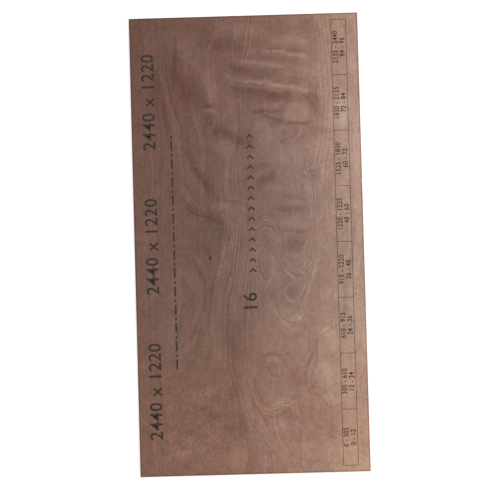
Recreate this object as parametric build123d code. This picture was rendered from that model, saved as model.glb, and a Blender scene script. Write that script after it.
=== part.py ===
"""A full sheet of plywood, lying flat on its back face. One solid, in millimetres.

The origin is the centre of the underside. X runs across the sheet, Y runs along it,
the way the face veneer's grain lies, and Z points up out of the printed face.

The veneers are glued and hot-pressed into one panel, trimmed square by saw, sanded
to thickness and sealed along the cut edges, so the sheet is a single piece. What is
left of its section is the trimmed outline with its four blunted corners and the
arrises that the sander and handling have rubbed round.
"""

import os

from build123d import *

# Driving dimensions, in millimetres
SHEET_LENGTH = 2440.0  # along Y: the 8 ft side
SHEET_WIDTH = 1220.0  # along X: the 4 ft side
SHEET_THICKNESS = 16.0  # along Z: sanded thickness
CORNER_RADIUS = 1.2  # the four upright corners of the trimmed outline
FACE_ARRIS_RADIUS = 0.7  # around the sanded front face
BACK_ARRIS_RADIUS = 0.5  # around the back face, which the sander touches less

PARTS_FOLDER = "parts"
CUBIC_MM_PER_CUBIC_M = 1e9


def trimmed_panel():
    """The pressed panel after the trim saw: a rectangle with blunted corners, pulled up from the floor."""
    with BuildPart() as panel:
        with BuildSketch(Plane.XY):
            RectangleRounded(SHEET_WIDTH, SHEET_LENGTH, CORNER_RADIUS)
        extrude(amount=SHEET_THICKNESS)
    return panel.part


def eased_sheet():
    """The trimmed panel with the arris of each face rubbed round."""
    panel = trimmed_panel()
    rims = panel.edges().group_by(Axis.Z)
    panel = fillet(rims[-1], FACE_ARRIS_RADIUS)
    back_rim = panel.edges().group_by(Axis.Z)[0]
    return fillet(back_rim, BACK_ARRIS_RADIUS)


def main():
    os.makedirs(PARTS_FOLDER, exist_ok=True)
    sheet = eased_sheet()
    size = sheet.bounding_box().size
    volume = sheet.volume / CUBIC_MM_PER_CUBIC_M
    print(f"plywood_sheet: {size.X:.1f} x {size.Y:.1f} x {size.Z:.1f} mm, {volume:.5f} cubic metres")
    export_step(sheet, os.path.join(PARTS_FOLDER, "plywood_sheet.step"))


main()
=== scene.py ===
# %% [markdown]
# # A sheet of printed plywood
# One full sheet of hardwood plywood lies flat with its printed face up, and the camera looks straight
# down on it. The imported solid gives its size. What this file adds is what makes the sheet look like wood:
# the figure of the rotary-cut face veneer, the red-brown sealer on the sawn edges, the ply lines under
# it, and the ink.
#
# Lengths below are in millimetres unless a name says otherwise, and MM turns them into Blender's metres.
# The origin is the middle of the underside, X runs across the sheet, Y along it, and Z up out of the
# face. The ink is the highest thing on the sheet, so its top takes the height of the solid and the veneer
# lies a hair lower.

# %% Load the frame
from math import radians

import bmesh
import bpy
import numpy as np
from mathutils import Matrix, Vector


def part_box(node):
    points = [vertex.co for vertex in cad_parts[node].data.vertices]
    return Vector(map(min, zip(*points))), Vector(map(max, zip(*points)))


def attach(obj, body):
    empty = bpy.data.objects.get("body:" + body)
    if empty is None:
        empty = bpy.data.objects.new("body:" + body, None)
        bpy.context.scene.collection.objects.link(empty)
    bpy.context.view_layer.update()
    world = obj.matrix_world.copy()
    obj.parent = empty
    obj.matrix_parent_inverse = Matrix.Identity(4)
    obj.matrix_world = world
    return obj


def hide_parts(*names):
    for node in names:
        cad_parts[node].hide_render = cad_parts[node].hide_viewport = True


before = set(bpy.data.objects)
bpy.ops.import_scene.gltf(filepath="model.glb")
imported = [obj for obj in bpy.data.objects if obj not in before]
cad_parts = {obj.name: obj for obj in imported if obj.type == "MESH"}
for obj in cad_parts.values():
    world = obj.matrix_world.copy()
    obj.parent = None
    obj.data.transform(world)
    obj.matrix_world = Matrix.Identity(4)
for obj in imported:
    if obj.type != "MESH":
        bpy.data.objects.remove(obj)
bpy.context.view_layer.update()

MM = 0.001
INK_RISE = 0.12

sheet_low, sheet_high = (np.array(corner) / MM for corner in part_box("plywood_sheet"))
HALF_WIDTH, HALF_LENGTH = (sheet_high - sheet_low)[:2] / 2
FACE_Z, BACK_Z = sheet_high[2], sheet_low[2]
VENEER_Z = FACE_Z - INK_RISE
scene = bpy.context.scene
print(f"sheet: {2 * HALF_WIDTH:.0f} x {2 * HALF_LENGTH:.0f} x {FACE_Z - BACK_Z:.1f} mm")

# %% [markdown]
# ## The camera
# The sheet was photographed almost square on, with a turn of a degree and a half in the picture. A
# long-ish lens keeps the two long sides parallel, as they are there. The place and the turns were fitted
# to the four corners of the sheet in the 500 x 500 picture.

# %% Camera
LENS_MM = 70.0
CAMERA_PLACE_M = (0.031, -0.110, 5.185)
CAMERA_TURN_DEG = (0.86, 0.33, -1.59)


def add_object(name, data):
    """A new object at the origin, linked to the scene."""
    made = bpy.data.objects.new(name, data)
    scene.collection.objects.link(made)
    return made


camera = add_object("camera", bpy.data.cameras.new("camera"))
camera.data.lens = LENS_MM
camera.location = CAMERA_PLACE_M
camera.rotation_euler = [radians(turn) for turn in CAMERA_TURN_DEG]
scene.camera = camera
scene.view_settings.view_transform = "Standard"
print(f"camera: {LENS_MM:.0f} mm lens, {CAMERA_PLACE_M[2]:.2f} m above the floor")

# %% [markdown]
# ## Helpers for shader nodes
# Every finish here is a small tree of nodes. These helpers keep the trees readable. One gives a node its
# inputs, one adds any node, three do sums, one maps a range with a smooth step, one mixes two colours,
# and one turns a colour from an image editor into the linear light that shaders work in.

# %% Node helpers
def feed(tree, node, inputs):
    """Gives a node its inputs, by name or number: a socket is linked, and a plain value is written on the
    input."""
    for key, value in inputs.items():
        if isinstance(value, bpy.types.NodeSocket):
            tree.links.new(value, node.inputs[key])
        else:
            node.inputs[key].default_value = value


def place(tree, kind, inputs=None, **settings):
    """Adds one shader node with its settings and its inputs."""
    made = tree.nodes.new("ShaderNode" + kind)
    for name, value in settings.items():
        setattr(made, name, value)
    feed(tree, made, inputs or {})
    return made


def calc(tree, operation, *values):
    """The result of one Math node on numbers or sockets."""
    return place(tree, "Math", dict(enumerate(values)), operation=operation).outputs[0]


def times_plus(tree, value, factor, added):
    """value times factor, plus added."""
    return calc(tree, "MULTIPLY_ADD", value, factor, added)


def one_less(tree, value):
    """1 less value, which turns a mask round."""
    return calc(tree, "SUBTRACT", 1.0, value)


def remap(tree, value, start, end, to_start=0.0, to_end=1.0):
    """A smooth step of value from start to end, stretched to run from to_start to to_end."""
    inputs = {"Value": value, "From Min": start, "From Max": end, "To Min": to_start, "To Max": to_end}
    return place(tree, "MapRange", inputs, interpolation_type="SMOOTHSTEP").outputs[0]


def mix(tree, share, first, second, blend="MIX"):
    """Two colours mixed: share 0 gives the first and 1 the second."""
    inputs = {0: share, 6: first, 7: second}
    return place(tree, "Mix", inputs, data_type="RGBA", blend_type=blend).outputs[2]


def srgb(red, green, blue):
    """A colour as an image editor shows it, 0 to 255, in linear light: the curve of the sRGB standard."""
    value = np.array([red, green, blue]) / 255.0
    linear = np.where(value <= 0.04045, value / 12.92, ((value + 0.055) / 1.055) ** 2.4)
    return (*linear.tolist(), 1.0)


print(f"colours: an editor's 128 is {srgb(128, 128, 128)[0]:.3f} in linear light")

# %% [markdown]
# ## Light, world and floor
# The picture is a cut-out on white, in flat light that is a little stronger from the right. One wide lamp
# and an even white world give part of that, and the rest is painted light in the veneer's shade, lighter to
# the right and towards the bottom. What the camera, a mirror or glass sees of the world is plain white, but
# the light that falls on the sheet stays at a level where a colour renders about as it is written.
# The floor is pale, and a little white is added for the camera alone, so that it ends up white and still
# keeps the sheet's soft shadow.

# %% World and lamp
WHITE = (1.0, 1.0, 1.0, 1.0)
WORLD_FILL = 0.62
LAMP_WATTS = 118.0
LAMP_SIZE_M = 4.0
LAMP_PLACE_M = (2.6, 0.9, 4.4)


def seen_directly(tree):
    """1 for rays from the camera, off gloss and through glass, and 0 for the light that falls on things."""
    path = place(tree, "LightPath").outputs
    gloss_or_glass = calc(tree, "MAXIMUM", path["Is Glossy Ray"], path["Is Transmission Ray"])
    return calc(tree, "MAXIMUM", path["Is Camera Ray"], gloss_or_glass)


world = bpy.data.worlds.new("studio")
world.use_nodes = True
scene.world = world
sky_tree = world.node_tree
fill = times_plus(sky_tree, seen_directly(sky_tree), 1.0 - WORLD_FILL, WORLD_FILL)
feed(sky_tree, sky_tree.nodes["Background"], {"Color": WHITE, "Strength": fill})

lamp = add_object("soft_lamp", bpy.data.lights.new("soft_lamp", "AREA"))
lamp.data.energy = LAMP_WATTS
lamp.data.size = LAMP_SIZE_M
lamp.location = LAMP_PLACE_M
lamp.rotation_euler = (-lamp.location).to_track_quat("-Z", "Y").to_euler()
lamp.visible_camera = False
print(f"light: world fill {WORLD_FILL}, one lamp of {LAMP_WATTS:.0f} W")

# %% Floor
FLOOR_GREY = 0.86
FLOOR_ROUGHNESS = 0.9
FLOOR_LIFT = 0.46
FLOOR_REACH_M = 30.0


def new_finish(name, specular):
    """A material with one Principled shader of that specular level. Returns the material, its tree and
    the shader."""
    finish = bpy.data.materials.new(name)
    finish.use_nodes = True
    shader = finish.node_tree.nodes["Principled BSDF"]
    shader.inputs["Specular IOR Level"].default_value = specular
    return finish, finish.node_tree, shader


floor_paint, paint_tree, paint_shader = new_finish("floor_paint", 0.0)
feed(paint_tree, paint_shader, {
    "Base Color": (FLOOR_GREY, FLOOR_GREY, FLOOR_GREY, 1.0), "Roughness": FLOOR_ROUGHNESS,
    "Emission Color": WHITE,
    "Emission Strength": calc(paint_tree, "MULTIPLY", seen_directly(paint_tree), FLOOR_LIFT)})
floor_mesh = bpy.data.meshes.new("floor")
floor_plan = np.array([(-1, -1, 0), (1, -1, 0), (1, 1, 0), (-1, 1, 0)]) * FLOOR_REACH_M
floor_mesh.from_pydata(floor_plan, [], [(0, 1, 2, 3)])
floor_mesh.materials.append(floor_paint)
floor = add_object("floor", floor_mesh)
print(f"floor: {2 * FLOOR_REACH_M:.0f} m across")

# %% [markdown]
# ## The sheet as one closed surface
# A plywood sheet is one piece, so it is one closed mesh: a grid for the face, a grid for the back, and a
# band round the four sawn edges. A cube with bevels would give the same outline, but the face needs many
# points to carry the figure of its veneer. The band is a section carried round the outline. Each point of
# the outline has a core point and an outward direction, and moving out from the core by the corner radius
# less an inset gives a row of the band, so the blunted corners come by themselves.

# %% Face and back grids
CORNER_RADIUS = 1.2
FACE_ARRIS = 0.7
BACK_ARRIS = 0.5
CELLS_ACROSS = 112
CELLS_ALONG = 304
INNER_CORNER = np.array([HALF_WIDTH, HALF_LENGTH]) - CORNER_RADIUS


def flat_grid(height, arris):
    """Even grid lines over the sheet, with one more line at each border, where the arris starts. The
    small square that those lines leave in each corner is squeezed on to a quarter disc: its points keep
    their direction from the corner's core and their larger coordinate becomes their distance."""
    past_core = CORNER_RADIUS - arris
    lines = [np.concatenate([[-core - past_core], np.linspace(-core, core, cells + 1), [core + past_core]])
             for core, cells in zip(INNER_CORNER, (CELLS_ACROSS, CELLS_ALONG))]
    plan = np.stack(np.meshgrid(*lines), axis=-1)
    out = plan - np.clip(plan, -INNER_CORNER, INNER_CORNER)
    far = np.linalg.norm(out, axis=-1, keepdims=True)
    squeeze = abs(out).max(axis=-1, keepdims=True) / np.where(far > 0, far, 1.0) - (far > 0)
    return np.concatenate([plan + out * squeeze, np.full_like(far, height)], axis=-1)


def border(rows, columns):
    """The numbers of a grid's border points, once round anticlockwise as seen from above."""
    number = np.arange(rows * columns).reshape(rows, columns)
    return np.concatenate([number[0, :-1], number[:-1, -1], number[-1, :0:-1], number[:0:-1, 0]])


face_points = flat_grid(VENEER_Z, FACE_ARRIS)
back_points = flat_grid(BACK_Z, BACK_ARRIS)
grid_rows, grid_columns = face_points.shape[:2]
rim = border(grid_rows, grid_columns)
print(f"grids: {grid_columns} x {grid_rows} points each, {len(rim)} round the rim")

# %% [markdown]
# ## The section of the sawn edge
# The sheet is pressed from eleven plies, and the saw leaves the plies of cross grain a tenth of a
# millimetre further in than the others. The section goes round the front arris, down the plies in small
# steps at the glue lines, and round the back arris.

# %% Edge section
PLIES = 11
FACE_PLY = 0.6
PLY_STEP = 0.12
GLUE_HALF = 0.12
ARRIS_STEPS = 3
INNER_PLY = (FACE_Z - BACK_Z - 2 * FACE_PLY) / (PLIES - 2)


def edge_section():
    """Rows of (inset, height) from under the face's border to above the back's: a quarter circle, two
    rows at each glue line whose insets swap between the long and the cross plies, and a quarter circle."""
    turn = np.linspace(0.0, np.pi / 2, ARRIS_STEPS + 1)[1:]
    front = np.stack([FACE_ARRIS * (1 - np.sin(turn)), VENEER_Z - FACE_ARRIS * (1 - np.cos(turn))], axis=1)
    glue = FACE_Z - FACE_PLY - INNER_PLY * np.arange(1, PLIES - 2)
    heights = np.repeat(glue, 2) + np.tile([GLUE_HALF, -GLUE_HALF], len(glue))
    cross = (np.arange(2 * len(glue)) + 1) // 2 % 2 == 0
    steps = np.stack([PLY_STEP * cross, heights], axis=1)
    back = np.stack([BACK_ARRIS * (1 - np.sin(turn)), BACK_Z + BACK_ARRIS * (1 - np.cos(turn))], axis=1)
    return np.concatenate([front, steps, back[::-1]])


section = edge_section()
rim_points = face_points.reshape(-1, 3)[rim, :2]
rim_core = np.clip(rim_points, -INNER_CORNER, INNER_CORNER)
rim_out = (rim_points - rim_core) / (CORNER_RADIUS - FACE_ARRIS)
band_plan = rim_core + rim_out * (CORNER_RADIUS - section[:, 0])[:, None, None]
band_height = np.broadcast_to(section[:, 1][:, None, None], (*band_plan.shape[:2], 1))
band_points = np.concatenate([band_plan, band_height], axis=-1)
print(f"edge: {len(section)} rows of {len(rim)} points, inner plies of {INNER_PLY:.2f} mm")

# %% Closed mesh
def quads_between(upper, lower):
    """Quads that join two closed loops of point numbers, facing outwards when the upper one runs
    anticlockwise."""
    return np.stack([upper, lower, np.roll(lower, -1), np.roll(upper, -1)], axis=1)


def grid_quads(rows, columns, first):
    """Quads of a grid whose point numbers start at first, facing up."""
    number = first + np.arange(rows * columns).reshape(rows, columns)
    sides = [number[:-1, :-1], number[:-1, 1:], number[1:, 1:], number[1:, :-1]]
    return np.stack(sides, axis=-1).reshape(-1, 4)


face_count = grid_rows * grid_columns
panel_points = np.concatenate([grid.reshape(-1, 3) for grid in (face_points, back_points, band_points)])
band_loops = 2 * face_count + np.arange(len(section) * len(rim)).reshape(-1, len(rim))
loops = [rim, *band_loops, face_count + rim]
face_quads = grid_quads(grid_rows, grid_columns, 0)
back_quads = grid_quads(grid_rows, grid_columns, face_count)[:, ::-1]
edge_quads = np.concatenate([quads_between(upper, lower) for upper, lower in zip(loops, loops[1:])])
panel_quads = np.concatenate([face_quads, back_quads, edge_quads])
print(f"panel: {len(panel_points)} points, {2 * len(panel_quads)} triangles")

# %% [markdown]
# ## The figure of the face veneer
# The face veneer was peeled from a turning log, so its figure is a contour map: every line is the place
# where the knife crossed one more growth ring. Where the rings stand steep the lines crowd into streams and
# bundles, and closed loops are hills and hollows in between. So the figure is a height field, counted in
# rings: streams and bundles step it up, lobes raise hills on it, and a slow noise makes it uneven. A wave
# texture would only give straight stripes. The places are given on the sheet, in millimetres from its
# middle.

# %% Streams and lobes
def ease(t):
    """Smooth step: 0 up to t = 0, 1 from t = 1, and 3 t t - 2 t t t between."""
    t = np.clip(t, 0.0, 1.0)
    return t * t * (3.0 - 2.0 * t)


def stream(x, y, path, rings):
    """0 left of a path (x, y, half width) that runs down the sheet and that many rings right of it, with
    an even slope between."""
    middle, height, half = np.array(path, dtype=float)[::-1].T
    half_widths = (x - np.interp(y, height, middle)) / np.interp(y, height, half)
    return rings * np.clip(half_widths / 2 + 0.5, 0.0, 1.0)


def lobe(x, y, middle_x, middle_y, half_x, half_y, rings, point, core):
    """A closed hill of that many rings, flat inside core. point 2 gives ellipses, and less draws them to
    points."""
    wide, tall = abs((x - middle_x) / half_x), abs((y - middle_y) / half_y)
    distance = (wide**point + tall**point) ** (1 / point)
    return rings * (1.0 - ease((distance - core) / (1.0 - core)))


# Each row of a path is x, y and half width, and a path is followed by its number of rings
LEFT_STREAM = [
    (-520, 1220, 60), (-505, 1030, 60), (-492, 845, 56), (-478, 595, 56), (-470, 345, 55), (-462, -30, 62),
    (-470, -405, 62), (-472, -1220, 75)]
LEFT_BORDER = [(-566, 1220, 56), (-572, 345, 56), (-554, -405, 56), (-572, -1220, 56)]
RIGHT_BORDER = [(540, 1220, 75), (584, 895, 75), (546, 570, 75), (558, -30, 75), (540, -1220, 75)]
INNER_FAN = [
    (-340, 1220, 40), (-325, 960, 28), (-300, 800, 26), (-264, 650, 26), (-238, 560, 34), (-215, 480, 50),
    (-200, 380, 90), (-200, 200, 200), (-200, -1220, 400)]
LOWER_FAN = [
    (-245, 1220, 700), (-245, 0, 400), (-240, -180, 130), (-232, -280, 44), (-228, -380, 36),
    (-226, -480, 38), (-216, -580, 44), (-190, -670, 54), (-155, -760, 95), (-130, -860, 200),
    (-120, -1220, 500)]
STREAMS = [
    (LEFT_STREAM, -4.4), (LEFT_BORDER, -3.4), (RIGHT_BORDER, 2.6), (INNER_FAN, 2.2), (LOWER_FAN, 3.6)]
LOBES = [
    # x, y, half width, half length, rings, point, core
    (74, -126, 48, 110, 1.3, 2.0, 0.3), (250, 8, 72, 56, -1.2, 2.0, 0.0),
    (216, -262, 64, 84, -1.4, 1.6, 0.0), (104, -672, 120, 130, 2.2, 2.0, 0.0),
    (-291, -1030, 100, 188, 2.6, 2.0, 0.0)]
print(f"figure: {len(STREAMS)} streams, {len(LOBES)} lobes")

# %% [markdown]
# ## Bundles that turn and close
# A stream runs down the whole sheet, but some lines bend back over an arch or close into a lens. A bundle
# follows any path. Every place looks for the stretch of the path that is nearest to it, and takes its
# side and its distance.

# %% Bundles
PATH_STEPS = 5


def smooth_path(points):
    """A path through points that bends evenly: on each span a cubic whose slope at a point is half the
    way from the point before it to the point after it."""
    points = np.array(points, dtype=float)
    slope = np.gradient(points, axis=0)
    t = np.linspace(0.0, 1.0, PATH_STEPS, endpoint=False)[:, None]
    from_start, from_end = (1 + 2 * t) * (1 - t) ** 2, t * t * (3 - 2 * t)
    spans = (from_start * points[:-1, None] + from_end * points[1:, None]
             + t * (1 - t) ** 2 * slope[:-1, None] - t * t * (1 - t) * slope[1:, None])
    return np.concatenate([spans.reshape(-1, points.shape[1]), points[-1:]])


def stretches(x, y, points):
    """For each short stretch of the smooth path through points: how far every place is from it, on which
    side of it the place lies, and the path's third number where it is nearest."""
    path = smooth_path(points)
    for (start_x, start_y, start_value), (run_x, run_y, run_value) in zip(path, np.diff(path, axis=0)):
        over_x, over_y = x - start_x, y - start_y
        part = np.clip((over_x * run_x + over_y * run_y) / (run_x**2 + run_y**2), 0.0, 1.0)
        off_x, off_y = over_x - part * run_x, over_y - part * run_y
        yield np.hypot(off_x, off_y), np.sign(run_y * off_x - run_x * off_y), start_value + part * run_value


def bundle(x, y, points, rings):
    """0 on the left of a path (x, y, half width), as one walks along it, and that many rings on its
    right, with an even slope over the half width on both sides. The side is that of the nearest stretch,
    and the distance is counted in half widths, so that the lines draw together and spread as the path
    says."""
    nearest, half_widths, facing = np.full(x.shape, np.inf), np.full(x.shape, np.inf), np.zeros(x.shape)
    for away, side, half in stretches(x, y, points):
        facing = np.where(away < nearest, side, facing)
        nearest = np.minimum(nearest, away)
        half_widths = np.minimum(half_widths, away / half)
    return rings * np.clip(0.5 + facing * half_widths / 2, 0.0, 1.0)


CENTRE_BUNDLE = [
    # up the middle of the sheet, from the bottom to the top
    (-150, -1240, 420), (-150, -1000, 380), (-148, -850, 300), (-145, -750, 200), (-142, -680, 124),
    (-140, -600, 82), (-136, -500, 70), (-134, -400, 70), (-131, -300, 72), (-119, -200, 72),
    (-101, -100, 68), (-86, 0, 64), (-76, 100, 60), (-74, 200, 58), (-82, 300, 56), (-84, 400, 54),
    (-72, 490, 52), (-48, 580, 48), (-44, 650, 48), (-46, 740, 50), (-32, 830, 52), (-10, 930, 54),
    (10, 1030, 56), (22, 1130, 58), (26, 1240, 60)]
INNER_BUNDLE = [
    # beside it, then over the arch, round the upper valley and up the right side
    (245, -1240, 32), (205, -1190, 32), (170, -1135, 32), (118, -1080, 34), (75, -1030, 37),
    (46, -990, 40), (32, -950, 38), (6, -890, 38), (-15, -850, 36), (-28, -800, 32), (-36, -750, 30),
    (-40, -700, 30), (-47, -640, 30), (-56, -560, 32), (-66, -460, 34), (-67, -360, 34), (-50, -260, 34),
    (-27, -160, 34), (-9, -80, 34), (4, 0, 36), (22, 54, 42), (50, 95, 46), (88, 112, 48), (128, 96, 44),
    (152, 52, 36), (164, 0, 30), (172, -45, 28), (186, -85, 34), (214, -116, 52), (246, -126, 62),
    (276, -108, 52), (300, -65, 36), (318, -10, 30), (334, 60, 32), (342, 140, 32), (344, 230, 34),
    (352, 330, 36), (370, 430, 38), (386, 540, 36), (394, 660, 34), (396, 800, 34), (392, 1000, 34),
    (388, 1240, 36)]
OUTER_BUNDLE = [
    # across the lower right, under the lens, round the pale oval, to the foot of the valley and up
    # the right side
    (640, -1160, 44), (480, -1080, 40), (400, -1034, 36), (330, -996, 32), (274, -964, 28),
    (242, -920, 24), (224, -872, 22), (194, -846, 24), (152, -848, 26), (112, -870, 24), (76, -882, 22),
    (38, -858, 22), (10, -810, 22), (-6, -740, 24), (-6, -660, 28), (4, -560, 36), (10, -460, 42),
    (12, -350, 44), (8, -240, 34), (8, -140, 30), (14, -60, 30), (30, -5, 34), (56, 28, 38), (85, 38, 40),
    (108, 20, 36), (122, -20, 28), (128, -80, 24), (130, -160, 27), (122, -240, 40), (135, -310, 48),
    (165, -370, 50), (205, -412, 54), (240, -422, 52), (263, -388, 42), (281, -325, 31), (305, -245, 26),
    (332, -165, 24), (356, -85, 22), (371, 0, 24), (386, 80, 28), (402, 180, 32), (416, 300, 32),
    (430, 430, 30), (440, 560, 28), (446, 700, 28), (448, 900, 28), (448, 1240, 30)]
PLATE_BUNDLE = [
    # in from the right, up the left side of the two pale plates and out again
    (640, -844, 34), (540, -846, 30), (450, -852, 24), (404, -864, 20), (372, -842, 20), (350, -806, 20),
    (314, -786, 22), (298, -740, 22), (304, -690, 22), (322, -640, 24), (338, -588, 26), (338, -530, 26),
    (356, -478, 24), (400, -452, 24), (460, -442, 26), (540, -432, 30), (640, -425, 34)]
TONGUE_BUNDLE = [
    # down the upper left, round the tip of the tongue and back up
    (-450, 1240, 36), (-446, 1100, 42), (-432, 960, 54), (-405, 830, 72), (-376, 700, 90), (-352, 580, 96),
    (-338, 470, 84), (-325, 370, 64), (-306, 280, 48), (-278, 205, 42), (-235, 155, 38), (-185, 132, 34),
    (-152, 140, 28), (-136, 190, 24), (-128, 260, 22), (-124, 360, 20), (-122, 480, 20), (-132, 580, 22),
    (-154, 670, 26), (-170, 760, 28), (-180, 870, 28), (-186, 980, 28), (-164, 1080, 28), (-138, 1150, 28),
    (-120, 1240, 30)]
LENS_BUNDLE = [
    # once round the long lens on the left
    (-470, -590, 34), (-410, -566, 34), (-358, -538, 33), (-326, -496, 32), (-304, -446, 31),
    (-284, -398, 30), (-262, -348, 29), (-247, -296, 28), (-243, -240, 28), (-250, -165, 28),
    (-268, -108, 29), (-296, -62, 30), (-318, -46, 30), (-346, -66, 31), (-366, -112, 32),
    (-380, -190, 33), (-388, -280, 34), (-396, -380, 34), (-412, -470, 34), (-438, -545, 34),
    (-470, -590, 34)]
BUNDLES = [
    (CENTRE_BUNDLE, 9.4), (INNER_BUNDLE, 5.0), (OUTER_BUNDLE, 3.0), (PLATE_BUNDLE, 2.0),
    (TONGUE_BUNDLE, 5.6), (LENS_BUNDLE, 3.4)]
print(f"bundles: {len(BUNDLES)}, through {sum(len(path) for path, _ in BUNDLES)} places")

# %% Growth over the face
MOTTLE_GAIN = 1.6
WIDEST_GAP = 120.0
# Rows of noise are how far it goes, its seed, and its spacings across and along the sheet
GROWTH_DRIFT_X = [(9, 31, 90, 240)]
GROWTH_DRIFT_Y = [(14, 32, 120, 200)]
GROWTH_NOISE = [(1.5, 3, 180, 600), (0.6, 5, 90, 270), (0.25, 8, 40, 110)]


def mottle(x, y, share, seed, across, length):
    """Seeded gradient noise, about -share to share: every point of a lattice with those spacings has a
    random slope, and the planes through the four points round a place are joined by smooth steps."""
    column, row = x / across, y / length
    left, below = np.floor(column).astype(int), np.floor(row).astype(int)
    half_columns, half_rows = int(2 * HALF_WIDTH / across) + 2, int(2 * HALF_LENGTH / length) + 2
    turn = np.random.default_rng(seed).uniform(0.0, 2 * np.pi, (2 * half_rows, 2 * half_columns))

    def plane(right, up):
        slope = turn[below + half_rows + up, left + half_columns + right]
        return np.cos(slope) * (column - left - right) + np.sin(slope) * (row - below - up)

    part_x, part_y = ease(column - left), ease(row - below)
    low_row = plane(0, 0) * (1 - part_x) + plane(1, 0) * part_x
    high_row = plane(0, 1) * (1 - part_x) + plane(1, 1) * part_x
    return share * MOTTLE_GAIN * (low_row * (1 - part_y) + high_row * part_y)


def total(shape, rows, x, y, **options):
    """The sum of one shape over the rows of a table."""
    return sum(shape(x, y, *row, **options) for row in rows)


def growth(x, y):
    """The height field in rings: streams, bundles and lobes at a place that noise has moved a little, and
    three sizes of noise drawn out along the grain."""
    moved_x = x + total(mottle, GROWTH_DRIFT_X, x, y)
    moved_y = y + total(mottle, GROWTH_DRIFT_Y, x, y)
    rings = total(stream, STREAMS, moved_x, moved_y) + total(bundle, BUNDLES, moved_x, moved_y)
    return rings + total(lobe, LOBES, moved_x, moved_y) + total(mottle, GROWTH_NOISE, x, y)


sheet_x, sheet_y = face_points[..., 0], face_points[..., 1]
line_x, line_y = sheet_x[grid_rows // 2], sheet_y[:, grid_columns // 2]
ring_field = growth(sheet_x, sheet_y)
ring_slope = np.hypot(*np.gradient(ring_field, line_y, line_x))
gap_field = 1 / np.maximum(ring_slope, 1 / WIDEST_GAP)
print(f"growth: {np.ptp(ring_field):.1f} rings, gaps from {gap_field.min():.0f} mm")

# %% [markdown]
# ## Shade of the face veneer
# Peeled veneer is never one colour. This sheet is darkest along its left side, lightest on the right and at
# the bottom, and has soft dark and light patches. That broad lightening to the right and towards the bottom
# is partly the wood's own tone and partly painted light: the stronger light on the right and lower part of
# the sheet is put into the colour. All that is one number for each point, the shade: 0 is the darkest brown
# and 1 a light one. It could be painted into an image, but a sum of simple shapes stays sharp, and every
# mark can be moved by its own row. First come soft patches, and plates with a clear edge.

# %% Patches and plates
PLATE_EDGE = 5
PLATE_RIM = 0.2
PATCHES = [
    # x, y, half width, half length, change of shade, and the turn in degrees of those that are turned
    (-448, 908, 70, 200, -0.08, -20), (-430, 657, 38, 130, -0.09), (-310, 1058, 75, 112, 0.05, -20),
    (-190, 1080, 70, 60, -0.05), (190, 1150, 120, 50, -0.07), (-197, 145, 62, 40, -0.10, -60),
    (-229, -255, 28, 100, -0.10), (240, 0, 52, 36, -0.17), (365, 695, 60, 70, -0.05),
    (515, 682, 62, 90, 0.10), (571, 470, 75, 150, 0.08), (480, 120, 75, 90, 0.05),
    (209, -265, 45, 60, -0.06), (-97, -955, 60, 60, -0.05), (-340, -800, 100, 75, 0.05),
    (-350, -1090, 60, 50, 0.06), (590, -900, 60, 300, -0.10), (402, -960, 55, 180, -0.06),
    (190, -470, 130, 95, 0.05), (-360, 800, 150, 150, -0.07), (-575, 1080, 60, 160, -0.07),
    (402, 1070, 60, 130, -0.06), (585, -760, 50, 140, -0.05), (575, 1140, 50, 90, -0.05),
    (575, -1150, 50, 90, -0.06), (-240, 40, 140, 120, -0.05), (-420, 1180, 160, 40, -0.06),
    (-560, 100, 40, 200, 0.03), (100, -880, 110, 330, 0.04), (-440, 770, 26, 120, -0.05),
    (400, -1000, 60, 220, -0.03), (-220, -1060, 200, 140, 0.03), (330, -960, 100, 260, -0.06),
    (100, 560, 100, 100, 0.05), (-310, -500, 100, 150, 0.035), (480, -60, 70, 200, -0.035),
    (240, -715, 50, 45, -0.05), (52, -625, 26, 24, -0.08), (250, 300, 70, 60, 0.05),
    (90, -780, 110, 420, 0.07), (310, -900, 90, 280, 0.02), (-220, -1090, 200, 110, 0.05),
    (-440, -330, 30, 250, 0.06), (-440, -1070, 30, 120, 0.05), (200, 460, 150, 120, 0.05),
    (200, -460, 140, 110, 0.05), (-130, 90, 60, 60, -0.12), (-545, 0, 50, 260, 0.05),
    (240, 0, 40, 40, -0.09), (-120, -200, 50, 60, -0.04), (580, -20, 50, 120, -0.06),
    (240, -950, 60, 50, 0.06), (400, 460, 60, 140, 0.04), (-440, -460, 30, 120, 0.03),
    (350, 1150, 36, 70, -0.13), (390, 1090, 30, 110, -0.05), (430, 1150, 25, 100, 0.04),
    (385, 900, 20, 50, 0.06), (430, 900, 25, 180, 0.04), (385, 760, 28, 70, -0.05),
    (445, 690, 20, 60, 0.06), (502, 690, 45, 100, 0.10), (575, 800, 35, 80, -0.05),
    (350, 500, 30, 50, 0.07), (400, 250, 40, 60, -0.05), (500, 310, 50, 60, 0.06),
    (-200, -260, 24, 70, -0.10), (-100, -450, 50, 120, -0.09), (-100, -600, 50, 80, -0.06),
    (-60, -500, 30, 120, -0.05)]
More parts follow.
